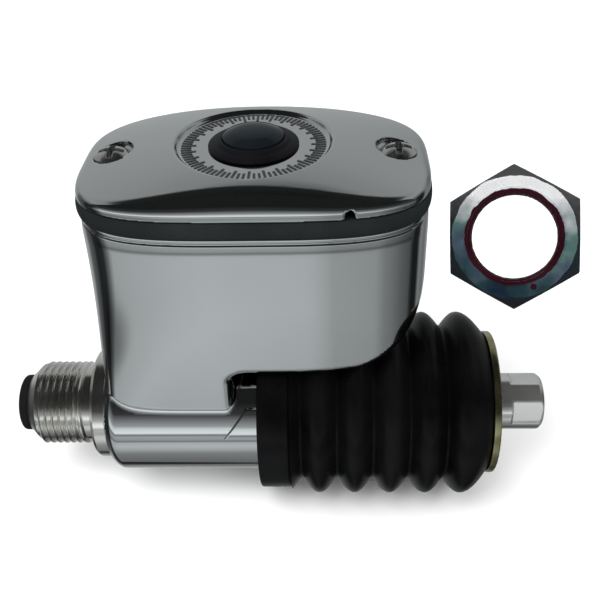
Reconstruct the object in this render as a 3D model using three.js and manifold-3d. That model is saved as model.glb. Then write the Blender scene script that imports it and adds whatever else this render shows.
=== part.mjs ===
// Rear brake master cylinder for a motorcycle.
// Millimetres. The origin is on the flange face that seats on the bracket, straight below the bore axis.
// +X runs along the bore towards the pushrod, +Z goes up to the reservoir cover.
// Pieces are drawn with Z measured from the bore axis, and the assembly is lifted by AXIS_HEIGHT at the end.
import * as THREE from 'three';
import { mergeVertices } from 'three/addons/utils/BufferGeometryUtils.js';
import Module from 'manifold-3d';

const wasm = await Module();
wasm.setup();

// ---------------------------------------------------------------- driving dimensions

const SEGMENTS = 20;               // sides of every turned piece, so a bore and its piston match
const SMALL_SEGMENTS = 12;         // sides of screws, pins and other small round pieces
const BARREL_SEGMENTS = 40;        // sides of the largest round faces
const RUNNING_FIT = 0.06;          // radial clearance of a moving piece in its bore
const SEAT_GAP = 0.1;              // gap between two faces that rest on each other
const BEYOND = 60;                 // reach of a cutting tool well past the part
const AXIS_HEIGHT = 12.2;          // bore axis above the origin, which is in the middle of the seat's width

// 7/8-14 UNF thread on the nose and in the mounting nut
const THREAD_R = 22.225 / 2;
const THREAD_PITCH = 25.4 / 14;
const THREAD_DEPTH = 0.61 * THREAD_PITCH;

const NOSE = { end: -18.4, endR: 7.7, threadEnd: -3.3, landR: 10.4 };
const PORT = { r: 4.6, bottom: -12.5, passageR: 1.6 };
const FLANGE = { length: 4.2, r: 14.67, edge: 0.8 };
const BORE = { r: 7.94, start: -9.9 };
const CARTRIDGE = { r: 12.7, end: 54, feedStart: 16, feedEnd: 24, feedR: 11.6 };
const FLUID_PORTS = { compensatingX: 18.2, compensatingR: 0.7, fillX: 22, fillR: 1.4, feedHoleR: 2.5 };
const O_RING = { wire: 0.68, grooveR: 11.3, grooveWidth: 2.2, places: [10, 32] };

const RING_GROOVE = { start: 51.2, end: 52.6, depth: 0.9, proud: 1.8, gap: 6 };

const BARREL = { start: 4.25, end: 51, r: 17.76, boreR: 12.75, chamfer: 2.2 };
const BOOT_PAD = { left: 34.8, slant: 6.5, bottom: 1, top: 13, proud: 0.7 };

// Plan of reservoir, gasket and cover: a squared-off ellipse
const PLAN = { x: 45.1, y: 9.7, halfLength: 40.8, halfDepth: 25.8, power: 3.55, points: 36 };
const BOWL = { top: 61.5, bottom: 22.3, draft: 1.8, wall: 3.1, floor: 30, cornerR: 23.5, bossR: 4.28 };
const LEG = { right: 37.8, back: 14.5, well: 20.5, wellRight: 34.5, wellHalfDepth: 10.5 };
const ARCH_R = 26.7;               // clearance over the boot
const GASKET = { thickness: 4.2, bulge: 0.4, webHalfLength: 27, webHalfDepth: 19, web: 1.3, depth: 9 };
const RIM = BOWL.top + GASKET.thickness;

// The dome drops with the square of the distance from its centre; its rim is rounded above an upright wall
const DOME = { peak: 74.1, spanX: 300, spanY: 215, rimWall: 1.2 };
const DISH = { floor: 71.6, floorR: 17.4, undersideZ: 68.5 };
const SIGHT = { holeR: 8, lensR: 6.9, stemR: 5.5, height: 3.7 };
const GROMMET = { flangeR: 10.6, flange: 1, lip: 1, lipDepth: 1.4 };
const COVER_SCREW = { offset: 33.65, r: 2.08, tip: 50, headR: 4.5, seat: 69.7, crown: 1.5, pocketR: 5.3 };
const CROSS_RECESS = { reach: 2.3, half: 0.5, depth: 1.9 };
const VENT = { x: 67, r: 1.1, length: 14 };

const PISTON = { front: 12, rear: 45.9, r: BORE.r - RUNNING_FIT, ballX: 38.2, socketR: 4.4, spigotR: 3,
  landR: 6.2, waistStart: 19.2, waistEnd: 34.4, waistR: 5 };
const RETURN_SPRING = { meanR: 5.4, wireR: 0.55, turns: 5, stepsPerTurn: 10 };
const SNAP_GROOVE = { start: 47.2, end: 48.5, depth: 0.7, reach: 1.4, gap: 5 };
const PRIMARY_CUP = { start: 13.2, end: 17.1, coreR: 4.5 };
const SECONDARY_CUP = { start: 36.1, end: 39.3, coreR: 5.6 };
const ROD = { ballR: 4.3, stemR: 3.4, neckR: 4.8, headR: 7.46, threadR: 3.4, taperStart: 64, taperEnd: 66,
  shoulder: 105.2, end: 118.5 };
const ROD_FLATS = { start: 108.5, across: 13.4, tilt: 19 };
const BOOT_WASHER = { start: 103.2, thickness: 1.9, r: 18.86 };
const BOOT = { collarStart: 44.1, collarEnd: 52.5, collarR: 22.7, crestR: 24.14, valleyR: 20.4,
  crestHalf: 0.9, firstCrest: 59.4, pitch: 9.22, folds: 5, end: 103.1, endR: 18.4, wall: 1.3 };
const BOOT_SPRING = { meanR: 16.3, wireR: 0.8, turns: 7, stepsPerTurn: 12 };
const PLUG = { depth: 5.5, flangeR: 7.5, flange: 1.7, dome: 3 };

const NUT = { across: 28.575, thickness: 12, boreR: 10.15, mouthR: 11.5, faceR: 13.85,
  x: 105.3, y: -1.7, z: 52.9, roll: 7.8 };
const NUT_FACING = new THREE.Vector3(-0.21, -0.83, 0.52).normalize();

// ---------------------------------------------------------------- solids

/** Turn a closed three.js geometry into a manifold solid with its faces pointing out. */
function solid(geometry) {
  const bare = geometry.index ? geometry.toNonIndexed() : geometry.clone();
  bare.deleteAttribute('normal');
  bare.deleteAttribute('uv');
  const merged = mergeVertices(bare, 1e-4);
  const vertices = merged.attributes.position.array;
  const triangles = dropSlivers(merged.index.array);
  if (signedVolume(vertices, triangles) < 0) triangles.reverse();
  return new wasm.Manifold(new wasm.Mesh({
    numProp: 3,
    vertProperties: Float32Array.from(vertices),
    triVerts: Uint32Array.from(triangles),
  }));
}

/** Leave out triangles that lost their area when vertices on the axis were merged. */
function dropSlivers(index) {
  const kept = [];
  for (let i = 0; i < index.length; i += 3) {
    const [a, b, c] = [index[i], index[i + 1], index[i + 2]];
    if (a !== b && b !== c && c !== a) kept.push(a, b, c);
  }
  return kept;
}

function signedVolume(vertices, triangles) {
  const corners = [new THREE.Vector3(), new THREE.Vector3(), new THREE.Vector3()];
  let volume = 0;
  for (let i = 0; i < triangles.length; i += 3) {
    corners.forEach((corner, k) => corner.fromArray(vertices, 3 * triangles[i + k]));
    volume += corners[0].dot(corners[1].clone().cross(corners[2])) / 6;
  }
  return volume;
}

/** Turn a manifold solid back into a three.js geometry. */
function geometryOf(manifold) {
  const mesh = manifold.getMesh();
  const geometry = new THREE.BufferGeometry();
  geometry.setAttribute('position', new THREE.BufferAttribute(mesh.vertProperties, 3));
  geometry.setIndex(new THREE.BufferAttribute(mesh.triVerts, 1));
  const flat = geometry.toNonIndexed();
  flat.computeVertexNormals();
  return flat;
}

/** Turn a closed outline of [axial, radius] points about the X axis. */
function turnedX(outline, segments = SEGMENTS) {
  const points = outline.map(([along, radius]) => new THREE.Vector2(radius, along));
  const lathe = new THREE.LatheGeometry(closed(points), segments);
  lathe.rotateZ(-Math.PI / 2);
  return solid(lathe);
}

/** Turn a closed outline of [radius, height] points about a vertical axis at (x, y). */
function turnedZ(outline, x, y, segments = SEGMENTS) {
  const points = outline.map(([radius, height]) => new THREE.Vector2(radius, height));
  const lathe = new THREE.LatheGeometry(closed(points), segments);
  lathe.rotateX(Math.PI / 2);
  lathe.translate(x, y, 0);
  return solid(lathe);
}

/** Repeat the first point at the end, unless the outline runs from axis to axis. */
function closed(points) {
  const first = points[0];
  const last = points[points.length - 1];
  return first.x === 0 && last.x === 0 ? points : [...points, first.clone()];
}

function cylinderX(radius, start, end, segments = SEGMENTS) {
  return turnedX([[start, 0], [start, radius], [end, radius], [end, 0]], segments);
}

function cylinderZ(radius, x, y, bottom, top, segments = SMALL_SEGMENTS) {
  return turnedZ([[0, bottom], [radius, bottom], [radius, top], [0, top]], x, y, segments);
}

function block([x0, y0, z0], [x1, y1, z1]) {
  const box = new THREE.BoxGeometry(x1 - x0, y1 - y0, z1 - z0);
  box.translate((x0 + x1) / 2, (y0 + y1) / 2, (z0 + z1) / 2);
  return solid(box);
}

/** Extrude a side-view shape, drawn in X and Z, from y0 to y1. */
function sidePrism(shape, y0, y1) {
  const prism = new THREE.ExtrudeGeometry(shape, { depth: y1 - y0, bevelEnabled: false, curveSegments: 10 });
  prism.rotateX(Math.PI / 2);
  prism.translate(0, y1, 0);
  return solid(prism);
}

/** One ring of the plan outline at height z, pulled in by the given distances. */
function planRing(z, insetX = 0, insetY = insetX) {
  return ovalRing(PLAN.halfLength - insetX, PLAN.halfDepth - insetY, z);
}

function ovalRing(halfLength, halfDepth, z) {
  const ring = [];
  for (let i = 0; i < PLAN.points; i += 1) {
    const angle = (2 * Math.PI * i) / PLAN.points;
    const cos = Math.cos(angle);
    const sin = Math.sin(angle);
    const reach = (Math.abs(cos) ** PLAN.power + Math.abs(sin) ** PLAN.power) ** (-1 / PLAN.power);
    ring.push(new THREE.Vector3(PLAN.x + halfLength * reach * cos, PLAN.y + halfDepth * reach * sin, z));
  }
  return ring;
}

/** Skin a stack of rings, and close the two ends to their centres. */
function loft(rings) {
  const count = rings[0].length;
  const corners = [];
  const centre = (ring) => ring.reduce((sum, p) => sum.add(p), new THREE.Vector3()).divideScalar(count);
  for (let level = 0; level + 1 < rings.length; level += 1) {
    for (let i = 0; i < count; i += 1) {
      const next = (i + 1) % count;
      const [a, b] = [rings[level][i], rings[level][next]];
      const [c, d] = [rings[level + 1][next], rings[level + 1][i]];
      corners.push(a, b, c, a, c, d);
    }
  }
  const [bottom, top] = [rings[0], rings[rings.length - 1]];
  const [bottomCentre, topCentre] = [centre(bottom), centre(top)];
  for (let i = 0; i < count; i += 1) {
    const next = (i + 1) % count;
    corners.push(bottomCentre, bottom[next], bottom[i]);
    corners.push(topCentre, top[i], top[next]);
  }
  return solid(new THREE.BufferGeometry().setFromPoints(corners));
}

/** A wire wound about the X axis, from start to end along X. */
function coilSpring(start, end, { meanR, wireR, turns, stepsPerTurn }) {
  class Helix extends THREE.Curve {
    getPoint(t, target = new THREE.Vector3()) {
      const angle = 2 * Math.PI * turns * t;
      const x = THREE.MathUtils.lerp(start + wireR, end - wireR, t);
      return target.set(x, meanR * Math.cos(angle), meanR * Math.sin(angle));
    }
  }
  const wire = new THREE.Shape();
  wire.absarc(0, 0, wireR, 0, 2 * Math.PI);
  return solid(new THREE.ExtrudeGeometry(wire, {
    extrudePath: new Helix(), steps: turns * stepsPerTurn, curveSegments: 3, bevelEnabled: false,
  }));
}

/** An outline of V-grooves standing in for a thread: crests at crestR, roots deeper by depth. */
function threadOutline(start, end, crestR, depth) {
  const grooves = Math.floor((end - start) / THREAD_PITCH);
  const points = [];
  for (let i = 0; i < grooves; i += 1) {
    const crest = start + i * THREAD_PITCH;
    points.push([crest, crestR], [crest + THREAD_PITCH / 2, crestR - depth]);
  }
  points.push([start + grooves * THREAD_PITCH, crestR]);
  return points;
}

// ---------------------------------------------------------------- reservoir casting

function bowlProfile(inset) {
  const left = PLAN.x - PLAN.halfLength - 2;
  const right = PLAN.x + PLAN.halfLength - inset;
  const bottom = inset > 0 ? BOWL.floor : BOWL.bottom;
  const radius = BOWL.cornerR - inset;
  const shape = new THREE.Shape();
  shape.moveTo(left, bottom);
  shape.lineTo(right - radius, bottom);
  shape.absarc(right - radius, bottom + radius, radius, -Math.PI / 2, 0);
  shape.lineTo(right, BOWL.top + 10);
  shape.lineTo(left, BOWL.top + 10);
  return shape;
}

function bowlRings(bottom, top, inset) {
  const draftAt = (z) => (BOWL.draft * (BOWL.top - Math.min(z, BOWL.top))) / BOWL.top;
  return loft([bottom, top].map((z) => planRing(z, inset, inset + draftAt(z))));
}

function reservoirBody() {
  const outside = bowlRings(0, BOWL.top, 0);
  const bowl = outside.intersect(sidePrism(bowlProfile(0), -BEYOND, BEYOND));
  const leg = outside.intersect(block([0, -BEYOND, 0], [LEG.right, LEG.back, BOWL.floor]));
  const arch = cylinderX(ARCH_R, LEG.right, LEG.right + BEYOND, BARREL_SEGMENTS);
  const barrel = turnedX([
    [BARREL.start, 0], [BARREL.start, BARREL.r - BARREL.chamfer], [BARREL.start + BARREL.chamfer, BARREL.r],
    [BARREL.end, BARREL.r], [BARREL.end, 0],
  ], BARREL_SEGMENTS);
  const outer = bowl.subtract(arch).add(leg).add(barrel).add(bootPad());
  const feedX = (CARTRIDGE.feedStart + CARTRIDGE.feedEnd) / 2;
  const feed = cylinderZ(FLUID_PORTS.feedHoleR, feedX, 0, 0, BOWL.floor);
  const bore = cylinderX(BARREL.boreR, 0, BARREL.end + 1);
  return outer.subtract(bowlCavity()).subtract(feed).subtract(bore);
}

/** Small raised pad on the front of the barrel, where the boot ends. */
function bootPad() {
  const { left, slant, bottom, top, proud } = BOOT_PAD;
  const right = BOOT.collarStart - SEAT_GAP;
  const shape = new THREE.Shape();
  shape.moveTo(left, bottom);
  shape.lineTo(right, bottom);
  shape.lineTo(right, top);
  shape.lineTo(left + slant, top);
  const frontHalf = sidePrism(shape, -BEYOND, 0);
  return cylinderX(BARREL.r + proud, left, right, BARREL_SEGMENTS).intersect(frontHalf);
}

function bowlCavity() {
  const above = BOWL.top + 5;
  const inside = sidePrism(bowlProfile(BOWL.wall), -BEYOND, BEYOND);
  const bowl = bowlRings(BOWL.floor, above, BOWL.wall).intersect(inside);
  const wellLeft = PLAN.x - PLAN.halfLength + 2 * BOWL.wall;
  const { well: wellBottom, wellRight, wellHalfDepth } = LEG;
  const well = block([wellLeft, -wellHalfDepth, wellBottom], [wellRight, wellHalfDepth, BOWL.floor + 1])
    .intersect(bowlRings(0, above, BOWL.wall));
  let cavity = bowl.add(well);
  for (const side of [-1, 1]) {
    const x = PLAN.x + side * COVER_SCREW.offset;
    cavity = cavity.subtract(cylinderZ(BOWL.bossR, x, PLAN.y, COVER_SCREW.tip - 6, BOWL.top));
    cavity = cavity.add(cylinderZ(COVER_SCREW.r + 0.12, x, PLAN.y, COVER_SCREW.tip - 1, above));
  }
  return cavity;
}

// ---------------------------------------------------------------- cover, gasket and sight glass

function domeHeight(x, y) {
  return DOME.peak - (x - PLAN.x) ** 2 / DOME.spanX - (y - PLAN.y) ** 2 / DOME.spanY;
}

/** A plan ring laid on the dome, pulled in by inset. */
function domeRing(inset) {
  return planRing(0, inset).map((p) => p.setZ(domeHeight(p.x, p.y)));
}

/** A ring on the rounded rim; roll runs from 0 on top of the upright wall to 1 on the dome. */
function rimRing(roll) {
  const angle = (roll * Math.PI) / 2;
  const centre = new THREE.Vector3(PLAN.x, PLAN.y, 0);
  return planRing(0).map((p) => {
    const edge = domeHeight(p.x, p.y) - RIM - DOME.rimWall;
    p.addScaledVector(centre.clone().sub(p).normalize(), edge * (1 - Math.cos(angle)));
    return p.setZ(domeHeight(p.x, p.y) - edge * (1 - Math.sin(angle)));
  });
}

function coverBlank() {
  const rings = [planRing(RIM + SEAT_GAP / 2)];
  for (const roll of [0, 1 / 3, 2 / 3, 1]) rings.push(rimRing(roll));
  for (const inset of [9, 14, 19]) rings.push(domeRing(inset));
  return loft(rings);
}

function reservoirCover() {
  const bottom = RIM - 1;
  const dishTop = DOME.peak + 1;
  const dish = turnedZ([
    [0, DISH.floor], [DISH.floorR, DISH.floor], [DISH.floorR + dishTop - DISH.floor, dishTop], [0, dishTop],
  ], PLAN.x, PLAN.y, BARREL_SEGMENTS);
  const recess = loft([
    ovalRing(GASKET.webHalfLength, GASKET.webHalfDepth, bottom),
    ovalRing(GASKET.webHalfLength - 1, GASKET.webHalfDepth - 1, DISH.undersideZ),
  ]);
  const hole = cylinderZ(SIGHT.holeR, PLAN.x, PLAN.y, bottom, dishTop, SEGMENTS);
  let cover = coverBlank().subtract(dish).subtract(recess).subtract(hole).subtract(ventChannel());
  for (const side of [-1, 1]) cover = cover.subtract(screwPocket(PLAN.x + side * COVER_SCREW.offset));
  return cover;
}

/** Half-round channel in the underside that lets air in above the diaphragm. */
function ventChannel() {
  const channel = new THREE.CylinderGeometry(VENT.r, VENT.r, VENT.length, SMALL_SEGMENTS);
  channel.translate(VENT.x, PLAN.y - PLAN.halfDepth + VENT.length / 3, RIM);
  return solid(channel);
}

function screwPocket(x) {
  const clearance = COVER_SCREW.r + 0.2;
  const coneDepth = COVER_SCREW.headR - COVER_SCREW.r;
  return turnedZ([
    [0, RIM - 1], [clearance, RIM - 1], [clearance, COVER_SCREW.seat - coneDepth],
    [COVER_SCREW.headR + 0.2, COVER_SCREW.seat], [COVER_SCREW.pocketR, COVER_SCREW.seat],
    [COVER_SCREW.pocketR, DOME.peak], [0, DOME.peak],
  ], x, PLAN.y, SMALL_SEGMENTS);
}

/** Rubber band between bowl and cover, with the diaphragm cup moulded to it. */
function coverGasket() {
  const { webHalfLength, webHalfDepth, web } = GASKET;
  const cupBottom = BOWL.top - GASKET.depth;
  const middle = (BOWL.top + RIM) / 2;
  const band = loft([planRing(BOWL.top), planRing(middle, -GASKET.bulge), planRing(RIM)]);
  const cup = loft([
    ovalRing(webHalfLength - 2, webHalfDepth - 2, cupBottom),
    ovalRing(webHalfLength + web, webHalfDepth + web, BOWL.top + 1),
  ]);
  const hollow = loft([
    ovalRing(webHalfLength - 2 - web, webHalfDepth - 2 - web, cupBottom + web),
    ovalRing(webHalfLength, webHalfDepth, RIM + 1),
  ]);
  let gasket = band.add(cup).subtract(hollow);
  for (const side of [-1, 1]) {
    const x = PLAN.x + side * COVER_SCREW.offset;
    gasket = gasket.subtract(cylinderZ(COVER_SCREW.r + 0.3, x, PLAN.y, BOWL.top - 1, RIM + 1));
  }
  return gasket;
}

function sightGlassGrommet() {
  const base = DISH.floor + SEAT_GAP / 2;
  const top = base + GROMMET.flange;
  const lip = DISH.undersideZ - SEAT_GAP;
  const lipBottom = lip - GROMMET.lipDepth;
  const { flangeR } = GROMMET;
  const lipR = SIGHT.holeR + GROMMET.lip;
  const neckR = SIGHT.holeR - SEAT_GAP;
  const innerR = SIGHT.stemR + SEAT_GAP;
  const shelf = base + GROMMET.flange / 2;
  const collarR = SIGHT.lensR + SEAT_GAP;
  const outerR = collarR + 1.3;
  return turnedZ([
    [innerR, lipBottom], [neckR, lipBottom], [lipR, lipBottom + 0.8], [lipR, lip], [neckR, lip],
    [neckR, base], [flangeR, base], [flangeR, top - 0.4], [flangeR - 0.6, top], [outerR, top + 0.2],
    [outerR - 0.3, top + 1], [collarR, top + 1.2], [collarR, shelf], [innerR, shelf],
  ], PLAN.x, PLAN.y);
}

function sightGlass() {
  const top = DISH.floor + SIGHT.height;
  const shelf = DISH.floor + GROMMET.flange / 2 + 2 * SEAT_GAP;
  const stemBottom = DISH.undersideZ - GROMMET.lipDepth - 0.8;
  return turnedZ([
    [0, stemBottom], [SIGHT.stemR, stemBottom], [SIGHT.stemR, shelf], [SIGHT.lensR, shelf],
    [SIGHT.lensR, top - 0.6], [SIGHT.lensR - 0.7, top], [0, top],
  ], PLAN.x, PLAN.y);
}

/** Oval-head screw with a cross recess; the shank is plain where the thread would be. */
function coverScrew(side) {
  const x = PLAN.x + side * COVER_SCREW.offset;
  const seat = COVER_SCREW.seat - SEAT_GAP;
  const crown = seat + COVER_SCREW.crown;
  const coneDepth = COVER_SCREW.headR - COVER_SCREW.r;
  const blank = turnedZ([
    [0, COVER_SCREW.tip], [COVER_SCREW.r - 0.6, COVER_SCREW.tip], [COVER_SCREW.r, COVER_SCREW.tip + 0.8],
    [COVER_SCREW.r, seat - coneDepth], [COVER_SCREW.headR, seat], [COVER_SCREW.headR * 0.75, seat + 0.8],
    [COVER_SCREW.headR * 0.4, crown - 0.15], [0, crown],
  ], x, PLAN.y, SMALL_SEGMENTS);
  const { reach, half, depth } = CROSS_RECESS;
  const floor = crown - depth;
  const slotX = block([x - reach, PLAN.y - half, floor], [x + reach, PLAN.y + half, crown + 1]);
  const slotY = block([x - half, PLAN.y - reach, floor], [x + half, PLAN.y + reach, crown + 1]);
  return blank.subtract(slotX).subtract(slotY);
}

// ---------------------------------------------------------------- cartridge and its inside

function cartridgeBody() {
  const grooves = O_RING.places.flatMap((x) => [
    [x, CARTRIDGE.r], [x, O_RING.grooveR], [x + O_RING.grooveWidth, O_RING.grooveR],
    [x + O_RING.grooveWidth, CARTRIDGE.r],
  ]);
  const [firstRing, secondRing] = [grooves.slice(0, 4), grooves.slice(4)];
  const threadStart = NOSE.end + THREAD_R - NOSE.endR;
  const ringGrooveR = CARTRIDGE.r - RING_GROOVE.depth;
  const snapGrooveR = BORE.r + SNAP_GROOVE.depth;
  const blank = turnedX([
    [PORT.bottom, 0], [PORT.bottom, PORT.r], [NOSE.end, PORT.r], [NOSE.end, NOSE.endR],
    ...threadOutline(threadStart, NOSE.threadEnd, THREAD_R, THREAD_DEPTH),
    [NOSE.threadEnd + 0.6, NOSE.landR], [0, NOSE.landR],
    [0, FLANGE.r - FLANGE.edge], [FLANGE.edge, FLANGE.r],
    [FLANGE.length, FLANGE.r], [FLANGE.length, CARTRIDGE.r],
    ...firstRing,
    [CARTRIDGE.feedStart, CARTRIDGE.r], [CARTRIDGE.feedStart, CARTRIDGE.feedR],
    [CARTRIDGE.feedEnd, CARTRIDGE.feedR], [CARTRIDGE.feedEnd, CARTRIDGE.r],
    ...secondRing,
    [RING_GROOVE.start, CARTRIDGE.r], [RING_GROOVE.start, ringGrooveR],
    [RING_GROOVE.end, ringGrooveR], [RING_GROOVE.end, CARTRIDGE.r],
    [CARTRIDGE.end, CARTRIDGE.r], [CARTRIDGE.end, BORE.r],
    [SNAP_GROOVE.end, BORE.r], [SNAP_GROOVE.end, snapGrooveR],
    [SNAP_GROOVE.start, snapGrooveR], [SNAP_GROOVE.start, BORE.r],
    [BORE.start, BORE.r], [BORE.start, 0],
  ]);
  const passage = cylinderX(PORT.passageR, PORT.bottom - 1, BORE.start + 1, SMALL_SEGMENTS);
  const compensatingPort = cylinderZ(FLUID_PORTS.compensatingR, FLUID_PORTS.compensatingX, 0, 0, CARTRIDGE.r);
  const fillPort = cylinderZ(FLUID_PORTS.fillR, FLUID_PORTS.fillX, 0, 0, CARTRIDGE.r);
  return blank.subtract(passage).subtract(compensatingPort).subtract(fillPort);
}

function oRing(x) {
  const centreR = O_RING.grooveR + O_RING.wire + 0.04;
  const torus = new THREE.TorusGeometry(centreR, O_RING.wire, 6, SEGMENTS);
  torus.rotateY(Math.PI / 2);
  torus.translate(x + O_RING.grooveWidth / 2, 0, 0);
  return solid(torus);
}

/** A flat ring in a groove about the bore axis, with an assembly gap cut at the bottom. */
function openRing(groove, innerR, outerR) {
  const [start, end] = [groove.start + SEAT_GAP, groove.end - SEAT_GAP];
  const ring = turnedX([[start, innerR], [start, outerR], [end, outerR], [end, innerR]]);
  return ring.subtract(block([start - 1, -groove.gap / 2, -outerR - 1], [end + 1, groove.gap / 2, 0]));
}

/** Outside ring that holds the cartridge in the barrel. */
function cartridgeRetainingRing() {
  const innerR = CARTRIDGE.r - RING_GROOVE.depth + RUNNING_FIT;
  return openRing(RING_GROOVE, innerR, CARTRIDGE.r + RING_GROOVE.proud);
}

/** Inside ring that holds the piston in the bore. */
function pistonSnapRing() {
  const outerR = BORE.r + SNAP_GROOVE.depth - RUNNING_FIT;
  return openRing(SNAP_GROOVE, BORE.r - SNAP_GROOVE.reach, outerR);
}

function pistonStopWasher() {
  const [start, end] = [PISTON.rear + SEAT_GAP, SNAP_GROOVE.start];
  const [innerR, outerR] = [4, BORE.r - SEAT_GAP];
  return turnedX([[start, innerR], [start, outerR], [end, outerR], [end, innerR]]);
}

function piston() {
  const { front, rear, r, ballX, socketR, spigotR, landR, waistStart, waistEnd, waistR } = PISTON;
  const socket = [];
  for (let i = 0; i <= 4; i += 1) {
    const angle = (i * Math.PI) / 8;
    socket.push([ballX - socketR * Math.sin(angle), socketR * Math.cos(angle)]);
  }
  socket[socket.length - 1][1] = 0;
  return turnedX([
    [front - 2, 0], [front - 2, spigotR], [front, spigotR], [front, landR],
    [PRIMARY_CUP.start - SEAT_GAP, landR], [PRIMARY_CUP.start - SEAT_GAP, PRIMARY_CUP.coreR],
    [PRIMARY_CUP.end + SEAT_GAP, PRIMARY_CUP.coreR], [PRIMARY_CUP.end + SEAT_GAP, r],
    [waistStart, r], [waistStart + 1, waistR], [waistEnd - 1, waistR], [waistEnd, r],
    [SECONDARY_CUP.start - SEAT_GAP, r], [SECONDARY_CUP.start - SEAT_GAP, SECONDARY_CUP.coreR],
    [SECONDARY_CUP.end + SEAT_GAP, SECONDARY_CUP.coreR], [SECONDARY_CUP.end + SEAT_GAP, r],
    [rear, r], [rear, socketR], ...socket,
  ]);
}

/** A lipped rubber cup whose open side faces the outlet. */
function lippedCup({ start, end, coreR }) {
  const [inner, outer] = [coreR + 0.05, BORE.r - 0.04];
  const middle = (inner + outer) / 2;
  const notch = start + 0.55 * (end - start);
  return turnedX([
    [start, inner], [start, inner + 0.5], [notch, middle], [start, outer - 0.5], [start, outer], [end, outer],
    [end, inner],
  ]);
}

function portPlug() {
  const { depth, flangeR, flange, dome } = PLUG;
  const face = NOSE.end - SEAT_GAP;
  const tip = NOSE.end + depth;
  const r = PORT.r - RUNNING_FIT;
  const bulge = (share) => face - flange - (dome - flange) * share;
  return turnedX([
    [tip, 0], [tip, r - 0.7], [tip - 0.8, r], [face, r], [face, flangeR], [bulge(0), flangeR],
    [bulge(0.4), flangeR - 1], [bulge(0.8), flangeR - 3], [bulge(1), 0],
  ]);
}

// ---------------------------------------------------------------- pushrod, boot and springs

function pushrod() {
  const { ballR, stemR, neckR, headR, threadR, taperStart, taperEnd, shoulder, end } = ROD;
  const ball = [];
  const stemAngle = Math.asin(stemR / ballR);
  for (let i = 0; i <= 5; i += 1) {
    const angle = Math.PI - (i / 5) * (Math.PI - stemAngle);
    ball.push([PISTON.ballX + ballR * Math.cos(angle), i === 0 ? 0 : ballR * Math.sin(angle)]);
  }
  const threadBottom = shoulder - 1;
  const blank = turnedX([
    ...ball, [taperStart, stemR], [taperEnd, neckR], [shoulder, neckR], [shoulder, headR], [end - 1, headR],
    [end, headR - 1], [end, threadR], [threadBottom, threadR], [threadBottom - threadR / 2, 0],
  ]);
  const { start, across, tilt } = ROD_FLATS;
  const square = new THREE.BoxGeometry(end - start + 1, across, across);
  square.rotateX(THREE.MathUtils.degToRad(-tilt));
  square.translate((start + end + 1) / 2, 0, 0);
  const round = cylinderX(headR + 1, PISTON.front, start);
  return blank.intersect(round.add(solid(square)));
}

function bootWasher() {
  const { start, thickness, r } = BOOT_WASHER;
  const [end, bore] = [start + thickness, ROD.neckR + 0.2];
  const edge = 0.4;
  return turnedX([
    [start, bore], [start, r - edge], [start + edge, r], [end - edge, r], [end, r - edge], [end, bore],
  ]);
}

/** Bellows: crests and valleys outside, the same wave one wall thickness inside. */
function dustBoot() {
  const wave = (offset) => {
    const points = [];
    for (let i = 0; i < BOOT.folds; i += 1) {
      const crest = BOOT.firstCrest + i * BOOT.pitch;
      const crestR = BOOT.crestR - offset;
      points.push([crest - BOOT.crestHalf, crestR], [crest + BOOT.crestHalf, crestR]);
      if (i + 1 < BOOT.folds) points.push([crest + BOOT.pitch / 2, BOOT.valleyR - offset]);
    }
    return points;
  };
  const neckR = (BARREL.r + SEAT_GAP) / Math.cos(Math.PI / SEGMENTS);
  const valley = BOOT.collarEnd + 2;
  return turnedX([
    [BOOT.collarStart, neckR], [BOOT.collarStart, BOOT.collarR - 0.5], [BOOT.collarStart + 0.5, BOOT.collarR],
    [BOOT.collarEnd - 1, BOOT.collarR], [BOOT.collarEnd, BOOT.valleyR + 0.6], [valley, BOOT.valleyR],
    ...wave(0),
    [BOOT.end - 1, BOOT.endR], [BOOT.end, BOOT.endR], [BOOT.end, BOOT.endR - BOOT.wall],
    ...wave(BOOT.wall).reverse(),
    [valley + 1, BOOT.valleyR - BOOT.wall], [BARREL.end + 0.5, BOOT.valleyR - BOOT.wall],
    [BARREL.end + 0.3, neckR],
  ]);
}

// ---------------------------------------------------------------- mounting nut

/** Hexagon nut about Z at the origin; the group turns it and carries it to its place. */
function mountingNut() {
  const { across, thickness, boreR, mouthR, faceR } = NUT;
  const cornerR = across / Math.sqrt(3);
  const half = thickness / 2;
  const hexagon = new THREE.CylinderGeometry(cornerR, cornerR, thickness, 6);
  hexagon.rotateX(Math.PI / 2);
  const chamferSlope = (cornerR + 1 - faceR) * Math.tan(Math.PI / 6);
  const chamfer = turnedZ([
    [0, -half], [faceR, -half], [cornerR + 1, chamferSlope - half], [cornerR + 1, half - chamferSlope],
    [faceR, half], [0, half],
  ], 0, 0, BARREL_SEGMENTS);
  const lead = mouthR - boreR;
  const grooves = threadOutline(1 - half, half - 1, boreR, boreR - THREAD_R).map(([z, r]) => [r, z]);
  const bore = turnedZ([
    [0, -half - 1], [mouthR + 1, -half - 1], [mouthR, -half], [boreR, lead - half], ...grooves.slice(1),
    [boreR, half - lead], [mouthR, half], [mouthR + 1, half + 1], [0, half + 1],
  ], 0, 0, SEGMENTS);
  return solid(hexagon).intersect(chamfer).subtract(bore);
}

// ---------------------------------------------------------------- materials and assembly

function finish(color, roughness, metalness) {
  return new THREE.MeshStandardMaterial({ color, roughness, metalness });
}

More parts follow.
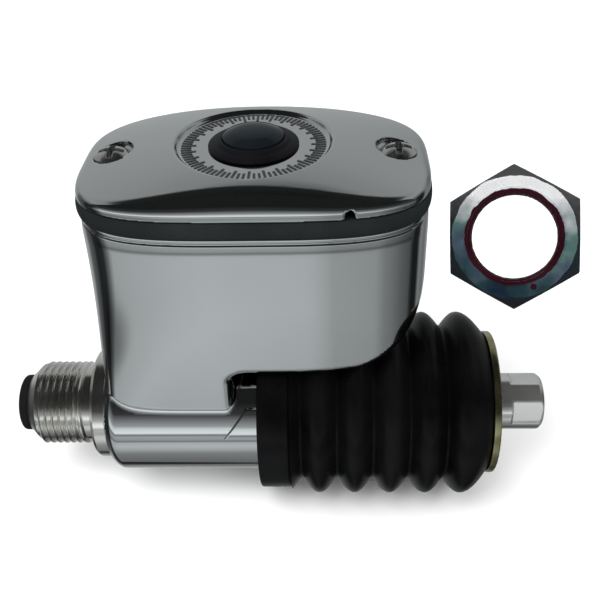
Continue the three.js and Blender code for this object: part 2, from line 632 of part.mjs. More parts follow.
const CHROME = finish(0xc4c8ca, 0.08, 1);
const ALUMINIUM = finish(0xb4b2aa, 0.35, 1);
const ZINC = finish(0xb8bcc0, 0.28, 1);
const YELLOW_ZINC = finish(0x9a9468, 0.35, 1);
const SPRING_STEEL = finish(0x6f7377, 0.35, 1);
const RUBBER = finish(0x161717, 0.7, 0);
const SEAL_RUBBER = finish(0x1c1c1e, 0.6, 0);
const LENS = finish(0x0b0d0e, 0.08, 0);
const PLUG_PLASTIC = finish(0x17181a, 0.45, 0);

const group = new THREE.Group();
const assembly = new THREE.Group();
assembly.position.z = AXIS_HEIGHT;
group.add(assembly);

function place(name, piece, material, parent = assembly) {
  const mesh = new THREE.Mesh(geometryOf(piece), material);
  mesh.name = name;
  parent.add(mesh);
}

place('reservoir_body', reservoirBody(), CHROME);
place('reservoir_cover', reservoirCover(), CHROME);
place('cover_gasket', coverGasket(), RUBBER);
place('sight_glass', sightGlass(), LENS);
place('sight_glass_grommet', sightGlassGrommet(), SEAL_RUBBER);
place('cover_screw_left', coverScrew(-1), ZINC);
place('cover_screw_right', coverScrew(1), ZINC);

place('cartridge_body', cartridgeBody(), ALUMINIUM);
place('cartridge_o_ring_front', oRing(O_RING.places[0]), SEAL_RUBBER);
place('cartridge_o_ring_rear', oRing(O_RING.places[1]), SEAL_RUBBER);
place('cartridge_retaining_ring', cartridgeRetainingRing(), SPRING_STEEL);
place('port_plug', portPlug(), PLUG_PLASTIC);

place('piston', piston(), ALUMINIUM);
place('primary_cup', lippedCup(PRIMARY_CUP), SEAL_RUBBER);
place('secondary_cup', lippedCup(SECONDARY_CUP), SEAL_RUBBER);
place('piston_return_spring', coilSpring(BORE.start + 0.2, PISTON.front - 0.1, RETURN_SPRING), SPRING_STEEL);
place('piston_stop_washer', pistonStopWasher(), ZINC);
place('piston_snap_ring', pistonSnapRing(), SPRING_STEEL);

place('pushrod', pushrod(), ZINC);
place('boot_washer', bootWasher(), YELLOW_ZINC);
place('dust_boot', dustBoot(), RUBBER);
place('pushrod_spring', coilSpring(BARREL.end + 0.3, BOOT_WASHER.start - 0.3, BOOT_SPRING), SPRING_STEEL);

const nutHolder = new THREE.Group();
nutHolder.up.set(0, 0, 1);
nutHolder.lookAt(NUT_FACING);
nutHolder.rotateZ(THREE.MathUtils.degToRad(NUT.roll));
nutHolder.position.set(NUT.x, NUT.y, NUT.z);
assembly.add(nutHolder);
place('mounting_nut', mountingNut(), ZINC, nutHolder);

export default group;
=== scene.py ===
"""Looks of a motorcycle rear brake master cylinder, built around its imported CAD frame.

Shapes are worked out in millimetres with the zero point on the bore axis at the flange face, +X
towards the pushrod and +Z up to the reservoir cover. The frame's origin is on the flange face below
the bore axis, so add_mesh() lifts every piece by AXIS_HEIGHT and scales it to metres. Pieces with
fillets are distance fields, which surface_nets() turns into closed meshes. Plain round pieces are
turned from an outline.
"""

import functools
import math

import bpy
import numpy as np
from mathutils import Matrix, Vector


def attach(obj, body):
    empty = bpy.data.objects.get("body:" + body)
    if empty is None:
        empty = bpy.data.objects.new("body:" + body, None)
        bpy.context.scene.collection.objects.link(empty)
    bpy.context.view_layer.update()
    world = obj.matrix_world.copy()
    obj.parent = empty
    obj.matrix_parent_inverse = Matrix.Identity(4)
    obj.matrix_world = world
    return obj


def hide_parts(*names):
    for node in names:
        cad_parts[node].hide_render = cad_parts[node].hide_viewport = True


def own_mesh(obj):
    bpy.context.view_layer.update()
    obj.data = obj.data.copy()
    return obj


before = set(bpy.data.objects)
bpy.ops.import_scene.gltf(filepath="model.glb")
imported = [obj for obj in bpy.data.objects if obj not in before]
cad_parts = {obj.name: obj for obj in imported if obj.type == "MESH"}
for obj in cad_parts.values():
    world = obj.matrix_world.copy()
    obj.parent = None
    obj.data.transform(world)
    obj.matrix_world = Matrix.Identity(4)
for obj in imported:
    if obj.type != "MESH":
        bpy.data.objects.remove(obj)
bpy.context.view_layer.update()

MM = 0.001
AXIS_HEIGHT = 12.2  # bore axis above the frame's origin, mm

# ---- driving dimensions, mm

# 7/8-14 UNF thread of the nose and the nut
THREAD_R = 11.11
THREAD_PITCH = 1.814
THREAD_DEPTH = 0.95

# plan outline that bowl, gasket and cover share
PLAN_X = 45.1
PLAN_Y = 9.7
HALF_LENGTH = 40.8
HALF_DEPTH = 25.8
PLAN_POWER = 3.55  # squareness of its corners; 2 is an ellipse

# bowl of the casting
BOWL_TOP = 61.5
BOWL_BOTTOM = 21.5
BOWL_FLOOR = 30.0
WALL = 3.1
DRAFT = 1.8  # depth lost on each side, down at the bore axis
FOOT_POWER = 13.0  # squareness of the left end, down at the bore axis
SHOULDER_START = 56.5  # above this the wall leans in
SHOULDER_BEND = 0.02
CORNER_X = 64.1  # big round corner under the right end
CORNER_R = 23.5
ARCH_R = 25.9  # hollow under the bowl that clears the boot
ARCH_EDGE_R = 1.2
GROOVE_Z = 60.1  # line under the gasket
GROOVE_DEPTH = 0.25
GROOVE_WIDTH = 0.3

# leg and barrel of the casting
LEG_RIGHT = 38.4
LEG_BACK = 14.5
NOTCH_FILLET = 3.6  # between bowl and leg
FOOT_FILLET = 0.6  # between leg and barrel
BARREL_START = 4.25
BARREL_END = 51.0
BARREL_R = 17.76
BARREL_BORE_R = 12.75
BARREL_CHAMFER = 2.2

# inside of the casting
WELL_RIGHT = 34.5  # well over the leg, deeper than the bowl
WELL_HALF_DEPTH = 10.5
WELL_FLOOR = 20.5
FEED_X = 20.0  # hole from the well to the bore
FEED_R = 2.5
BOSS_R = 4.3  # bosses for the cover screws
BOSS_LENGTH = 6.0  # how far a boss reaches below its screw

# cover
RIM = 65.7  # where the cover sits on the gasket
RIM_WALL = 1.2
DOME_PEAK = 74.1
DOME_SPAN_X = 300.0  # the dome drops by x * x / span
DOME_SPAN_Y = 215.0
COVER_UNDERSIDE = 68.5
DISH_FLOOR = 71.6
DISH_FLOOR_R = 17.6
DISH_WALL_RUN = 0.6  # how far its wall leans out for each mm up
VENT_X = 67.0
VENT_R = 1.05
VENT_RISE = 1.1
VENT_DEPTH = 9.0

# cover screws
SCREW_OFFSET = 33.65  # each side of the middle of the cover
SCREW_R = 2.08
SCREW_PITCH = 0.8
SCREW_SEAT = 69.7
SCREW_TIP = 50.0
SCREW_HEAD_R = 4.5
SCREW_CROWN = 1.5
POCKET_R = 5.3

# gasket, with the diaphragm cup moulded to it
GASKET_BULGE = 0.4
CUP_HALF_LENGTH = 27.0
CUP_HALF_DEPTH = 19.0
CUP_DEPTH = 9.0
CUP_WALL = 1.3
CUP_TAPER = 0.1

# sight window and its grommet
SIGHT_HOLE_R = 8.0
LENS_R = 7.1
LENS_HEIGHT = 4.0
GROMMET_R = 10.6
GROMMET_HEIGHT = 1.1
GROMMET_LIP_R = 8.9  # lip under the cover
WINDOW_R = 5.7  # opening through the grommet

# cartridge: nose, flange and sleeve
NOSE_END = -18.4
NOSE_END_R = 7.7
NOSE_LAND_R = 10.4
THREAD_END = -3.3
FLANGE_LENGTH = 4.2
FLANGE_R = 14.67
CARTRIDGE_R = 12.7
CARTRIDGE_END = 54.0
BORE_R = 7.94
BORE_START = -9.9
PORT_R = 4.6
PORT_BOTTOM = -12.5
SLEEVE_GROOVES = (  # start, end and radius of each groove round the sleeve
    (10.0, 12.2, 11.3),  # front o-ring
    (16.0, 24.0, 11.6),  # feed chamber
    (32.0, 34.2, 11.3),  # rear o-ring
    (51.2, 52.6, 11.8),  # retaining ring
)
SNAP_GROOVE = (48.5, 47.2, 8.64)  # groove in the bore for the snap ring

# plug in the port
PLUG_RIM_R = 7.5
PLUG_RIM_END = -20.7
PLUG_TIP = -21.3
PLUG_INNER_END = -12.9

# pushrod
ROD_BALL_X = 38.2
ROD_BALL_R = 4.3
ROD_STEM_R = 3.4
ROD_NECK_START = 66.0
ROD_NECK_R = 4.8
ROD_HEAD_R = 7.46
ROD_SHOULDER = 105.2
ROD_FLATS_START = 110.2
ROD_END = 118.5
ROD_FLATS = 13.4  # across two opposite flats
ROD_TILT = 15.0  # turn of the flats about the rod, degrees
ROD_HOLE_R = 3.2
ROD_HOLE_PITCH = 1.25

# washer, boot and springs
WASHER_START = 103.2
WASHER_THICKNESS = 1.9
WASHER_R = 18.86
WASHER_HOLE_R = 5.0
COLLAR_START = 44.1
COLLAR_END = 52.5
COLLAR_R = 22.7
CREST_R = 24.14
VALLEY_R = 20.4
FIRST_CREST = 59.4
FOLD_PITCH = 9.22
FOLDS = 5
BOOT_END = 103.1
BOOT_END_R = 18.4
BOOT_WALL = 1.3
BOOT_SPRING = {"start": 51.3, "end": 102.9, "mean_r": 16.3, "wire_r": 0.8, "turns": 7}
RETURN_SPRING = {"start": -9.7, "end": 11.9, "mean_r": 5.4, "wire_r": 0.55, "turns": 5}

# mounting nut, loose beside the cylinder
NUT_ACROSS = 28.575
NUT_THICKNESS = 12.0
NUT_BORE_R = 9.75
NUT_MOUTH_R = 11.5
NUT_FACE_R = 13.85
NUT_THREAD_DEPTH = 0.7  # part of the thread is filled by the thread lock
NUT_PLACE = Vector((105.3, -1.7, 52.9))
NUT_FACING = Vector((-0.21, -0.83, 0.52)).normalized()
NUT_ROLL = math.radians(7.8)

FLOOR_Z = -24.5
PART_MIDDLE = Vector((0.05, 0, 0.03))  # metres


# ---- meshes


def add_mesh(name, vertices, faces, body, finish, replaces=None, slot=None, normals=None,
             smooth_angle=35, placed=None):
    """Make one visible piece from millimetre vertices and let it ride on a CAD body.

    It is shown instead of the CAD node that it replaces. Vertices are measured from the bore axis,
    unless placed gives the piece's own matrix. The slot argument is not used.
    """
    lift = (0, 0, 0) if placed else (0, 0, AXIS_HEIGHT)
    mesh = bpy.data.meshes.new(name)
    mesh.from_pydata(((np.asarray(vertices, float) + lift) * MM).tolist(), [], faces)
    mesh.validate()
    piece = bpy.data.objects.new(name, mesh)
    if placed:
        piece.matrix_world = placed
    bpy.context.scene.collection.objects.link(piece)
    mesh.shade_smooth()
    if normals is not None:
        mesh.normals_split_custom_set_from_vertices(normals.tolist())
    else:
        mesh.set_sharp_from_angle(angle=math.radians(smooth_angle))
    mesh.materials.append(MATERIALS[finish])
    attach(piece, body)
    if replaces:
        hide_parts(replaces)
    return piece


def quads_between(rings, count, wrap):
    """Quads that skin rings of count vertices; the last ring joins the first when wrap is true."""
    faces = []
    for ring in range(rings if wrap else rings - 1):
        here = ring * count
        there = ((ring + 1) % rings) * count
        for i in range(count):
            j = (i + 1) % count
            faces.append((here + i, there + i, there + j, here + j))
    return faces


def turned(name, outline, body, finish, axis="X", centre=(0, 0), segments=96, radius_at=None, **options):
    """Turn a closed outline of (along, radius) points about the bore axis or a vertical axis.

    An outline that starts and ends on the axis makes a solid; any other one makes a ring.
    Other options go to add_mesh().
    """
    solid = outline[0][1] == 0
    rings = outline[1:-1] if solid else outline
    angles = [2 * math.pi * i / segments for i in range(segments)]

    def place(along, radius, angle):
        across = radius * math.cos(angle)
        up = radius * math.sin(angle)
        if axis == "X":
            return (along, across, up)
        return (centre[0] + across, centre[1] + up, along)

    vertices = []
    for along, radius in rings:
        for angle in angles:
            r = radius_at(along, radius, angle) if radius_at else radius
            vertices.append(place(along, r, angle))
    faces = quads_between(len(rings), segments, wrap=not solid)
    if solid:
        for end, first in ((0, 0), (-1, (len(rings) - 1) * segments)):
            tip = len(vertices)
            vertices.append(place(outline[end][0], 0, 0))
            for i in range(segments):
                pair = (first + i, first + (i + 1) % segments)
                faces.append((tip, *pair) if end == 0 else (tip, *reversed(pair)))
    if outline_is_clockwise(outline):
        faces = [tuple(reversed(face)) for face in faces]
    return add_mesh(name, vertices, faces, body, finish, **options)


def outline_is_clockwise(outline):
    pairs = zip(outline, outline[1:] + outline[:1])
    return sum(x0 * y1 - x1 * y0 for (x0, y0), (x1, y1) in pairs) < 0


def softened(outline, radius=0.4, steps=4):
    """Round the corners of an outline; points on the axis stay sharp."""
    points = [Vector(p) for p in outline]
    result = []
    for i, corner in enumerate(points):
        if corner.y == 0:
            result.append(tuple(corner))
            continue
        before = points[i - 1] - corner
        after = points[(i + 1) % len(points)] - corner
        reach = min(radius, 0.45 * before.length, 0.45 * after.length)
        start = corner + before.normalized() * reach
        end = corner + after.normalized() * reach
        for step in range(steps + 1):
            t = step / steps
            result.append(tuple(start * (1 - t) ** 2 + corner * 2 * t * (1 - t) + end * t ** 2))
    return result


def groove(start, end, groove_r, surface_r):
    """Outline points of a square groove, from start to end along a cylinder of surface_r."""
    return [(start, surface_r), (start, groove_r), (end, groove_r), (end, surface_r)]


# ---- distance fields


def round_union(a, b, radius):
    """Join two distance fields with a fillet where they meet."""
    corner = np.hypot(np.maximum(radius - a, 0), np.maximum(radius - b, 0))
    return np.maximum(radius, np.minimum(a, b)) - corner


def round_overlap(a, b, radius):
    """Keep what is inside both distance fields, with a rounded edge where they meet."""
    corner = np.hypot(np.maximum(radius + a, 0), np.maximum(radius + b, 0))
    return np.minimum(-radius, np.maximum(a, b)) + corner


def overlap(*fields):
    """Keep what is inside every distance field, with sharp edges."""
    return functools.reduce(np.maximum, fields)


def plan_distance(x, y, half_length, half_depth, power=PLAN_POWER):
    """About how far (x, y) lies outside a squared-off ellipse."""
    u = np.abs(x - PLAN_X) / half_length
    v = np.abs(y - PLAN_Y) / half_depth
    reach = np.maximum((u ** power + v ** power) ** (1 / power), 1e-6)
    slope = np.hypot(u ** (power - 1) / half_length, v ** (power - 1) / half_depth)
    return (reach - 1) / np.maximum(slope * reach ** (1 - power), 1e-6)


def wall_distance(x, y, z, inset):
    """Distance outside the casting's upright wall, which has draft and a squarer foot at the left."""
    depth_share = (BOWL_TOP - np.clip(z, 0, BOWL_TOP)) / BOWL_TOP
    power = PLAN_POWER + (x < PLAN_X) * (FOOT_POWER - PLAN_POWER) * depth_share ** 3
    return plan_distance(x, y, HALF_LENGTH - inset, HALF_DEPTH - inset - DRAFT * depth_share, power)


def corner_distance(x, z, bottom, radius):
    """Distance outside the bowl's side view: open to the left and top, round at the lower right."""
    across = x - CORNER_X
    down = bottom + radius - z
    outside = np.hypot(np.maximum(across, 0), np.maximum(down, 0)) - radius
    return outside + np.minimum(np.maximum(across, down), 0)


def axis_levels(low, high, cell, fine=None):
    """Grid levels along one axis; fine = (start, end, cell) puts closer ones in a stretch of it."""
    if fine is None:
        return np.arange(low, high + cell, cell)
    start, end, fine_cell = fine
    below = np.arange(low, start, cell)
    inside = np.arange(start, end, fine_cell)
    above = np.arange(end, high + cell, cell)
    return np.concatenate([below, inside, above])


def gradient(field, points, step=0.01):
    slopes = []
    for offset in np.eye(3) * step:
        ahead = field(*(points + offset).T)
        behind = field(*(points - offset).T)
        slopes.append((ahead - behind) / (2 * step))
    return np.stack(slopes, axis=1)


def join_diagonals(values):
    """Pull in the grid points where solid meets only across a diagonal of a grid square.

    Such a square would put four faces on one mesh edge.
    """
    def corner(grid, a, b, step_a, step_b):
        window = [slice(None)] * 3
        window[a] = slice(step_a, grid.shape[a] - 1 + step_a)
        window[b] = slice(step_b, grid.shape[b] - 1 + step_b)
        return grid[tuple(window)]

    for _ in range(6):
        for a, b in ((0, 1), (0, 2), (1, 2)):
            for first, second in ((0, 1), (1, 0)):
                inside = values < 0
                diagonal = corner(inside, a, b, 0, first) & corner(inside, a, b, 1, second)
                other = corner(inside, a, b, 0, second) | corner(inside, a, b, 1, first)
                corner(values, a, b, 0, second)[diagonal & ~other] = -0.01


CELL_CORNERS = [(i, j, k) for i in (0, 1) for j in (0, 1) for k in (0, 1)]


def cell_crossings(values, levels, cells):
    """Mean point where the field changes sign on the edges of each cell."""
    total = np.zeros((len(cells), 3))
    count = np.zeros((len(cells), 1))
    for corner in CELL_CORNERS:
        for axis in range(3):
            if corner[axis]:
                continue
            here = cells + np.array(corner)
            there = here + np.eye(3, dtype=int)[axis]
            value_here = values[tuple(here.T)]
            value_there = values[tuple(there.T)]
            crossed = (value_here < 0) != (value_there < 0)
            change = np.where(crossed, value_here - value_there, 1)
            share = np.where(crossed, value_here / change, 0)[:, None]
            start = np.stack([levels[a][here[:, a]] for a in range(3)], axis=1)
            stop = np.stack([levels[a][there[:, a]] for a in range(3)], axis=1)
            total += np.where(crossed[:, None], start + (stop - start) * share, 0)
            count += crossed[:, None]
    return total / count


def crossed_edge_quads(inside, index):
    """One quad round every grid edge that crosses the surface, wound to face outwards."""
    faces = []
    for axis in range(3):
        b, c = (axis + 1) % 3, (axis + 2) % 3
        first = np.take(inside, range(inside.shape[axis] - 1), axis=axis)
        second = np.take(inside, range(1, inside.shape[axis]), axis=axis)
        edges = np.argwhere(first != second)
        started_inside = first[tuple(edges.T)]
        ring = []
        for step_b, step_c in ((0, 0), (-1, 0), (-1, -1), (0, -1)):
            cell = edges.copy()
            cell[:, b] += step_b
            cell[:, c] += step_c
            ring.append(index[tuple(cell.T)])
        quad = np.stack(ring, axis=1)
        quad[~started_inside] = quad[~started_inside][:, ::-1]
        faces.append(quad)
    return np.concatenate(faces).tolist()


def surface_nets(field, xs, ys, zs):
    """Mesh the zero level of a field: one vertex in every mixed cell, one quad over every crossed edge."""
    values = field(xs[:, None, None], ys[None, :, None], zs[None, None, :])
    values = np.broadcast_to(values, (len(xs), len(ys), len(zs))).copy()
    join_diagonals(values)
    inside = values < 0
    shape = tuple(n - 1 for n in inside.shape)

    filled = np.zeros(shape, np.int8)
    for corner in CELL_CORNERS:
        filled += inside[tuple(slice(o, o + n) for o, n in zip(corner, shape))]
    cells = np.argwhere((filled > 0) & (filled < 8))
    index = np.full(shape, -1, np.int64)
    index[tuple(cells.T)] = np.arange(len(cells))

    points = cell_crossings(values, (xs, ys, zs), cells)
    for _ in range(4):
        slope = gradient(field, points)
        size = np.maximum((slope ** 2).sum(axis=1, keepdims=True), 0.05)
        move = -field(*points.T)[:, None] * slope / size
        points += np.clip(move, -0.3, 0.3)

    normals = gradient(field, points, 0.04)
    normals /= np.maximum(np.linalg.norm(normals, axis=1, keepdims=True), 1e-9)
    return points, crossed_edge_quads(inside, index), normals


def sculpted(name, field, low, high, cell, body, finish, fine_z=None, **options):
    """A piece from a distance field, meshed in the box from low to high."""
    xs = axis_levels(low[0], high[0], cell)
    ys = axis_levels(low[1], high[1], cell)
    zs = axis_levels(low[2], high[2], cell, fine_z)
    points, faces, normals = surface_nets(field, xs, ys, zs)
    return add_mesh(name, points, faces, body, finish, normals=normals, **options)


# ---- materials


class Nodes:
    """Small helper that adds and links nodes of one tree."""

    def __init__(self, tree):
        self.tree = tree

    def add(self, kind, **settings):
        node = self.tree.nodes.new(kind)
        for key, value in settings.items():
            setattr(node, key, value)
        return node

    def link(self, source, target):
        self.tree.links.new(source, target)

    def feed(self, value, socket):
        """Give a socket a number, vector or colour, or link another socket to it."""
        if isinstance(value, (int, float, tuple)):
            socket.default_value = value
        else:
            self.link(value, socket)

    def math(self, operation, a, b=0.0):
        node = self.add("ShaderNodeMath", operation=operation)
        self.feed(a, node.inputs[0])
        self.feed(b, node.inputs[1])
        return node.outputs[0]

    def distance(self, across, up, centre_across, centre_up):
        """Distance of the point (across, up) from a centre."""
        side = self.math("POWER", self.math("SUBTRACT", across, centre_across), 2.0)
        rise = self.math("POWER", self.math("SUBTRACT", up, centre_up), 2.0)
        return self.math("SQRT", self.math("ADD", side, rise))

    def noise(self, coordinates, scale):
        node = self.add("ShaderNodeTexNoise")
        node.inputs["Scale"].default_value = scale
        node.inputs["Detail"].default_value = 3.0
        self.link(coordinates, node.inputs["Vector"])
        return node.outputs["Fac"]

    def stretched(self, coordinates, factors):
        node = self.add("ShaderNodeVectorMath", operation="MULTIPLY")
        self.feed(coordinates, node.inputs[0])
        self.feed(factors, node.inputs[1])
        return node.outputs[0]

    def ramp(self, value, stops):
        """Colour ramp through (position, colour) stops."""
        node = self.add("ShaderNodeValToRGB")
        elements = node.color_ramp.elements
        while len(elements) < len(stops):
            elements.new(0.5)
        for element, (position, colour) in zip(elements, stops):
            element.position = position
            element.color = (*colour, 1)
        self.link(value, node.inputs["Fac"])
        return node.outputs["Color"]

    def mixed(self, mask, base, colour, blend_type="MIX"):
        """The base colour with another colour laid over it where mask is 1."""
        node = self.add("ShaderNodeMix", data_type="RGBA", blend_type=blend_type)
        base_socket, colour_socket = node.inputs[6], node.inputs[7]
        self.link(mask, node.inputs["Factor"])
        self.link(base, base_socket)
        self.feed(colour, colour_socket)
        return node.outputs[2]

    def mapped(self, value, from_range, to_range, **settings):
        node = self.add("ShaderNodeMapRange", **settings)
        node.inputs["From Min"].default_value, node.inputs["From Max"].default_value = from_range
        node.inputs["To Min"].default_value, node.inputs["To Max"].default_value = to_range
        self.link(value, node.inputs["Value"])
        return node.outputs["Result"]

    def bump(self, height, strength, distance):
        node = self.add("ShaderNodeBump")
        node.inputs["Strength"].default_value = strength
        node.inputs["Distance"].default_value = distance * MM
        self.link(height, node.inputs["Height"])
        return node.outputs["Normal"]


NOISE_RANGE = (0.3, 0.7)  # where most of a noise node's values lie


def new_material(name, metallic):
    """A material with its helper, its principled shader and object coordinates."""
    material = bpy.data.materials.new(name)
    material.use_nodes = True
    nodes = Nodes(material.node_tree)
    shader = material.node_tree.nodes["Principled BSDF"]
    shader.inputs["Metallic"].default_value = metallic
    coordinates = nodes.add("ShaderNodeTexCoord").outputs["Object"]
    return material, nodes, shader, coordinates


def surface(name, dark, light, roughness, metallic=0.0, grain=900, grain_height=0.02,
            stretch=(1, 1, 1), patches=60, gloss=0.5):
    """Colour and gloss drift between two values in patches, over a fine grain that is real relief."""
    material, nodes, shader, coordinates = new_material(name, metallic)
    drift = nodes.noise(coordinates, patches)
    colour = nodes.ramp(drift, [(NOISE_RANGE[0], dark), (NOISE_RANGE[1], light)])
    nodes.link(colour, shader.inputs["Base Color"])
    nodes.link(nodes.mapped(drift, NOISE_RANGE, roughness), shader.inputs["Roughness"])
    fine = nodes.noise(nodes.stretched(coordinates, stretch), grain)
    nodes.link(nodes.bump(fine, 0.6, grain_height), shader.inputs["Normal"])
    shader.inputs["Specular IOR Level"].default_value = gloss
    return material


def nut_material():
    """Rainbow zinc coating under a painted sheen that runs from dark at the bottom to white at the top,
    painted dark reflection on the chamfers, and red thread lock in the bore and one dab by it.
    """
    material, nodes, shader, coordinates = new_material("nut_zinc", 0.6)
    split = nodes.add("ShaderNodeSeparateXYZ")
    nodes.link(coordinates, split.inputs[0])
    across, up = split.outputs[0], split.outputs[1]
    drift = nodes.noise(coordinates, 90)
    # Painted light: the colour runs with height on the nut, from near black at the bottom to a painted
    # white highlight at the top; the blue-green tints between stand for the zinc's rainbow coating.
    shade = nodes.math("ADD", nodes.math("MULTIPLY", up, 26.0), nodes.math("MULTIPLY", drift, 0.9))
    coating_and_painted_light = nodes.ramp(shade, [
        (0.05, (0.01, 0.02, 0.04)),
        (0.22, (0.02, 0.05, 0.06)),
        (0.34, (0.07, 0.10, 0.14)),
        (0.44, (0.10, 0.19, 0.18)),
        (0.56, (0.50, 0.53, 0.55)),
        (0.68, (0.93, 0.94, 0.95)),
    ])
    patch = nodes.noise(coordinates, 260)
    radius = nodes.distance(across, up, 0, 0)
    edge = nodes.math("ADD", radius, nodes.math("MULTIPLY", patch, 1.2 * MM))
    # Painted shade: on the chamfers the colour is pulled nearly to black, a painted dark reflection.
    on_chamfer = nodes.math("GREATER_THAN", edge, (NUT_FACE_R + 0.5) * MM)
    coating_and_painted_light = nodes.mixed(nodes.math("MULTIPLY", on_chamfer, 0.92), coating_and_painted_light, (0.01, 0.011, 0.013, 1))
    on_bore = nodes.math("LESS_THAN", edge, (NUT_MOUTH_R + 0.1) * MM)
    dab_distance = nodes.distance(across, up, 4.3 * MM, -11.3 * MM)
    on_dab = nodes.math("LESS_THAN", dab_distance, 0.7 * MM)
    coating_and_painted_light = nodes.mixed(nodes.math("MAXIMUM", on_bore, on_dab), coating_and_painted_light, (0.04, 0.006, 0.012, 1))
    nodes.link(coating_and_painted_light, shader.inputs["Base Color"])
    shader.inputs["Specular IOR Level"].default_value = 0.2
    nodes.link(nodes.mapped(patch, NOISE_RANGE, (0.2, 0.36)), shader.inputs["Roughness"])
    fine = nodes.noise(coordinates, 1500)
    nodes.link(nodes.bump(fine, 0.5, 0.02), shader.inputs["Normal"])
    return material


FINISHES = {
    "gasket_rubber": dict(
        dark=(0.008, 0.010, 0.010), light=(0.013, 0.016, 0.016), roughness=(0.5, 0.7), gloss=0.12),
    "boot_rubber": dict(
        dark=(0.001, 0.001, 0.0012), light=(0.004, 0.004, 0.0045), roughness=(0.22, 0.36), gloss=0.1,
        grain=1400, grain_height=0.03),
    "seal_rubber": dict(
        dark=(0.002, 0.002, 0.003), light=(0.005, 0.005, 0.006), roughness=(0.3, 0.45), gloss=0.12),
    "plug_plastic": dict(
        dark=(0.004, 0.004, 0.005), light=(0.009, 0.009, 0.010), roughness=(0.5, 0.65), gloss=0.1),
    "sight_lens": dict(
        dark=(0.002, 0.003, 0.004), light=(0.006, 0.008, 0.010), roughness=(0.03, 0.08), gloss=0.14,
        grain=200, grain_height=0.01),
    "mark_enamel": dict(
        dark=(0.012, 0.013, 0.014), light=(0.03, 0.03, 0.032), roughness=(0.3, 0.5), patches=400),
    "chrome": dict(
        dark=(0.61, 0.63, 0.635), light=(0.65, 0.67, 0.675), roughness=(0.025, 0.06), metallic=1.0,
        grain=45, grain_height=0.05, patches=25),
    "screw_steel": dict(
        dark=(0.50, 0.50, 0.49), light=(0.70, 0.70, 0.69), roughness=(0.12, 0.3), metallic=1.0,
        grain=2500, patches=500),
    "machined_aluminium": dict(  # turned: the grain runs round the bore axis
        dark=(0.80, 0.79, 0.75), light=(0.92, 0.91, 0.87), roughness=(0.1, 0.2), metallic=1.0,
        grain=120, grain_height=0.03, stretch=(30, 1, 1), patches=120),
    "zinc_steel": dict(
        dark=(0.84, 0.84, 0.82), light=(0.95, 0.95, 0.93), roughness=(0.12, 0.22), metallic=0.95,
        grain=700, stretch=(8, 1, 1), patches=150),
    "spring_steel": dict(
        dark=(0.22, 0.23, 0.24), light=(0.40, 0.41, 0.42), roughness=(0.25, 0.45), metallic=1.0),
    "yellow_zinc": dict(
        dark=(0.34, 0.31, 0.15), light=(0.55, 0.52, 0.33), roughness=(0.2, 0.36), metallic=1.0,
        patches=220),
}

MATERIALS = {"nut_zinc": nut_material()}
for finish, settings in FINISHES.items():
    MATERIALS[finish] = surface(finish, **settings)


# ---- reservoir casting and cover


def casting_outside(x, y, z):
    """Bowl, leg and barrel, with the fillets between them."""
    radial = np.hypot(y, z)
    side_view = corner_distance(x, z, BOWL_BOTTOM, CORNER_R)
    bowl = round_overlap(side_view, ARCH_R - radial, ARCH_EDGE_R)
    leg = round_overlap(x - LEG_RIGHT, y - LEG_BACK, 2.5)
    upright = round_union(bowl, leg, NOTCH_FILLET)
    line = GROOVE_DEPTH * np.exp(-((z - GROOVE_Z) / GROOVE_WIDTH) ** 2)
    shoulder = SHOULDER_BEND * np.maximum(z - SHOULDER_START, 0) ** 2
    upright = round_overlap(upright, wall_distance(x, y, z, 0) + line + shoulder, 2.6)
    upright = np.maximum(upright, -z)
    chamfer = (radial - BARREL_R + BARREL_START - x + BARREL_CHAMFER) / math.sqrt(2)
    barrel = round_overlap(radial - BARREL_R, chamfer, 0.8)
    barrel = np.maximum(barrel, x - BARREL_END)
    whole = round_union(upright, barrel, FOOT_FILLET)
    whole = round_overlap(whole, z - BOWL_TOP + 0.02, 0.45)
    return np.maximum(whole, BARREL_START - x)


def casting_inside(x, y, z):
    """Bowl cavity with its two screw bosses, the well in the leg, the feed hole and the bore."""
    plan = wall_distance(x, y, z, WALL)
    cavity = round_overlap(corner_distance(x, z, BOWL_FLOOR, CORNER_R - WALL), plan, 2.5)
    well_top = BOWL_FLOOR + 4
    well = overlap(plan, x - WELL_RIGHT, np.abs(y) - WELL_HALF_DEPTH, WELL_FLOOR - z, z - well_top)
    cavity = np.minimum(cavity, well)
    for side in (-1, 1):
        ring = np.hypot(x - PLAN_X - side * SCREW_OFFSET, y - PLAN_Y)
        boss = overlap(ring - BOSS_R, SCREW_TIP - BOSS_LENGTH - z)
        cavity = np.maximum(cavity, -boss)
        screw_hole = overlap(ring - SCREW_R - 0.3, SCREW_TIP - 1.5 - z)
        cavity = np.minimum(cavity, screw_hole)
    feed = overlap(np.hypot(x - FEED_X, y) - FEED_R, -z, z - BOWL_FLOOR)
    bore = np.hypot(y, z) - BARREL_BORE_R
    return np.minimum(np.minimum(cavity, feed), bore)


def reservoir_body():
    def field(x, y, z):
        return np.maximum(casting_outside(x, y, z), -casting_inside(x, y, z))

    near_groove = (59.0, 62.0, 0.2)
    low, high = (2.3, -20.2, -20.2), (88, 38, 63)
    sculpted("reservoir_casting", field, low, high, 0.62, "cylinder", "chrome", fine_z=near_groove,
             replaces="reservoir_body")


